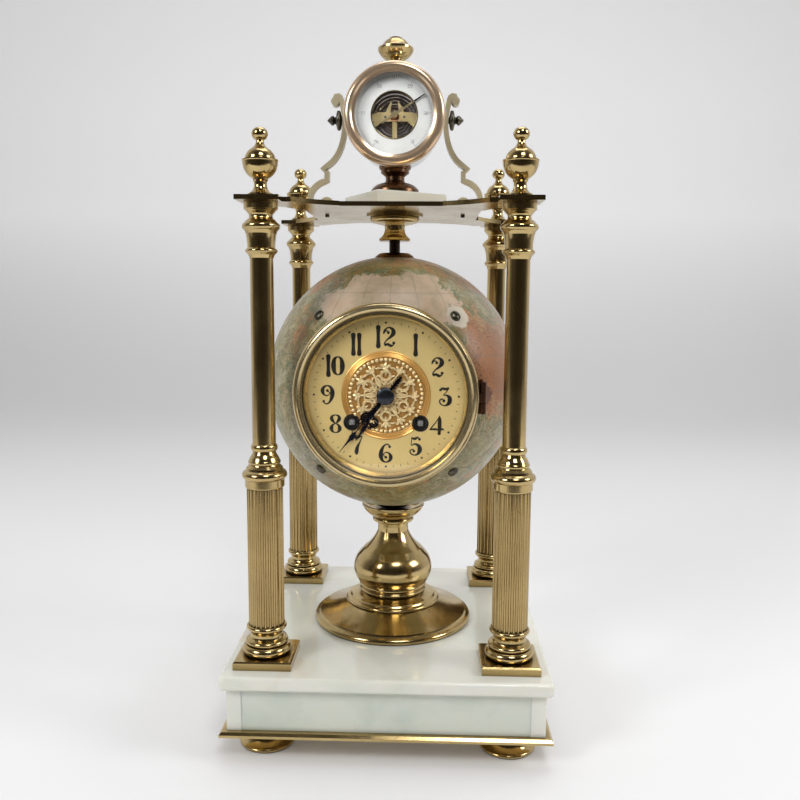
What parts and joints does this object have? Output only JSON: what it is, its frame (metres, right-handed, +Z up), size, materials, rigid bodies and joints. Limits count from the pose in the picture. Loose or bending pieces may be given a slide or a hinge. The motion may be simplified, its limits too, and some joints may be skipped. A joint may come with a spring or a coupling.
{
  "type": "globe clock with barometer",
  "caption": "Terrestrial globe clock on a turned pedestal between brass columns on an onyx base, with an aneroid barometer mounted above the top plate.",
  "frame": {"origin": "on the ground under the middle of the base", "axes": "+Z up, the clock and barometer dials face -Y, +X to the right when looking at the dials"},
  "size_m": [0.186, 0.192, 0.4162],
  "materials": {
    "brass": "polished brass with old lacquer, darker in the turned grooves",
    "onyx_cream": "polished cream onyx marble with faint pinkish veins",
    "onyx_green": "polished pale green onyx, cloudy and slightly translucent",
    "steel": "turned steel",
    "blued_steel": "blued steel, nearly black",
    "bronze": "dark bronzed screws and collars",
    "nickel": "polished nickel plate",
    "silvered_dial": "silvered white dial with fine black scale",
    "gilt_dial": "frosted gilt with black numerals and a raised orange gilt centre",
    "clear_glass": "clear flat glass",
    "globe_paper": "varnished printed paper map, aged",
    "bell_metal": "turned bell metal"
  },
  "bodies": {
    "stand": {"bun_feet": "brass", "base_tray": "brass", "frieze_panels": "onyx_green", "corner_piers": "onyx_cream", "onyx_slab": "onyx_cream", "column_bases": "brass", "fluted_shafts": "brass", "column_collars": "brass", "upper_shafts": "brass", "column_capitals": "brass", "column_finials": "brass", "column_tie_rods": "steel", "pedestal_foot": "brass", "pedestal_stem": "brass", "pedestal_cup": "brass", "lower_pivot": "steel", "top_plate": "brass", "plate_boss": "brass", "upper_pivot": "steel", "onyx_block": "onyx_cream", "barometer_neck": "brass", "barometer_drum": "nickel", "barometer_bezel": "brass", "barometer_glass": "clear_glass", "barometer_dial": "silvered_dial", "barometer_movement": "brass", "barometer_finial": "brass", "lyre_brackets": "brass", "bracket_screws": "bronze"},
    "globe": {"globe_shell": "globe_paper", "polar_collars": "bronze", "globe_screws": "bronze", "clock_case": "brass", "bezel_seat": "brass", "hinge_pins": "steel", "dial": "gilt_dial", "dial_medallion": "gilt_dial", "movement_front_plate": "brass", "movement_back_plate": "brass", "movement_pillars": "brass", "striking_barrel": "brass", "escapement_platform": "brass", "bell": "bell_metal", "rear_ring": "brass"},
    "bezel": {"front_bezel": "brass", "front_glass": "clear_glass"},
    "rear_door": {"rear_door": "brass"},
    "minute_train": {"centre_arbor": "steel", "minute_hand": "blued_steel", "hand_collet": "blued_steel"},
    "hour_train": {"hour_wheel": "brass", "hour_hand": "blued_steel"},
    "motion_wheel": {"minute_wheel": "brass"},
    "intermediate": {"intermediate_wheel": "brass"},
    "going_barrel": {"going_barrel": "brass"},
    "going_winder": {"going_winding_arbor": "steel"},
    "striking_winder": {"striking_winding_arbor": "steel"},
    "balance": {"balance_wheel": "brass"},
    "hammer": {"strike_hammer": "steel"},
    "weather_pointer": {"barometer_pointer": "blued_steel"}
  },
  "joints": [
    {"name": "globe_turn", "type": "hinge", "parent": "stand", "child": "globe", "pos_m": [0, 0, 0.2056], "axis": [0, 0, 1], "continuous": true},
    {"name": "bezel_hinge", "type": "hinge", "parent": "globe", "child": "bezel", "pos_m": [0.05284, -0.06263, 0.20317], "axis": [-0.0015, -0.0401, 0.9992], "range_deg": [0, 90]},
    {"name": "rear_door_hinge", "type": "hinge", "parent": "globe", "child": "rear_door", "pos_m": [0.05273, 0.06497, 0.20829], "axis": [0.0015, 0.0401, -0.9992], "range_deg": [0, 90]},
    {"name": "minute_hand_turn", "type": "hinge", "parent": "globe", "child": "minute_train", "pos_m": [-0.00226, -0.05891, 0.20323], "axis": [0.0384, 0.9985, 0.0401], "continuous": true},
    {"name": "hour_hand_turn", "type": "hinge", "parent": "globe", "child": "hour_train", "pos_m": [-0.00222, -0.05791, 0.20327], "axis": [0.0384, 0.9985, 0.0401], "continuous": true},
    {"name": "minute_wheel_turn", "type": "hinge", "parent": "globe", "child": "motion_wheel", "pos_m": [-0.00194, -0.0504, 0.21558], "axis": [0.0384, 0.9985, 0.0401], "continuous": true},
    {"name": "intermediate_wheel_turn", "type": "hinge", "parent": "globe", "child": "intermediate", "pos_m": [0.01179, -0.02048, 0.20556], "axis": [0.0384, 0.9985, 0.0401], "continuous": true},
    {"name": "going_barrel_turn", "type": "hinge", "parent": "globe", "child": "going_barrel", "pos_m": [0.01904, -0.02009, 0.18891], "axis": [0.0384, 0.9985, 0.0401], "continuous": true},
    {"name": "going_winding", "type": "hinge", "parent": "globe", "child": "going_winder", "pos_m": [0.01789, -0.05004, 0.18771], "axis": [0.0384, 0.9985, 0.0401], "range_deg": [0, 1620]},
    {"name": "striking_winding", "type": "hinge", "parent": "globe", "child": "striking_winder", "pos_m": [-0.02168, -0.04852, 0.18771], "axis": [0.0384, 0.9985, 0.0401], "range_deg": [0, 1620]},
    {"name": "balance_swing", "type": "hinge", "parent": "globe", "child": "balance", "pos_m": [0.0158, -0.00543, 0.22592], "axis": [0.0384, 0.9985, 0.0401], "range_deg": [-150, 150]},
    {"name": "hammer_lift", "type": "hinge", "parent": "globe", "child": "hammer", "pos_m": [-0.03563, 0.01041, 0.21997], "axis": [0.0384, 0.9985, 0.0401], "range_deg": [0, 7]},
    {"name": "barometer_pointer_turn", "type": "hinge", "parent": "stand", "child": "weather_pointer", "pos_m": [0, -0.016, 0.3673], "axis": [0, 1, 0], "range_deg": [-195, 75]}
  ],
  "couplings": [
    {"joint": "hour_hand_turn", "follows": "minute_hand_turn", "ratio": 0.083333},
    {"joint": "minute_wheel_turn", "follows": "minute_hand_turn", "ratio": -0.33333},
    {"joint": "intermediate_wheel_turn", "follows": "minute_hand_turn", "ratio": -0.16667},
    {"joint": "going_barrel_turn", "follows": "minute_hand_turn", "ratio": 0.02381}
  ]
}
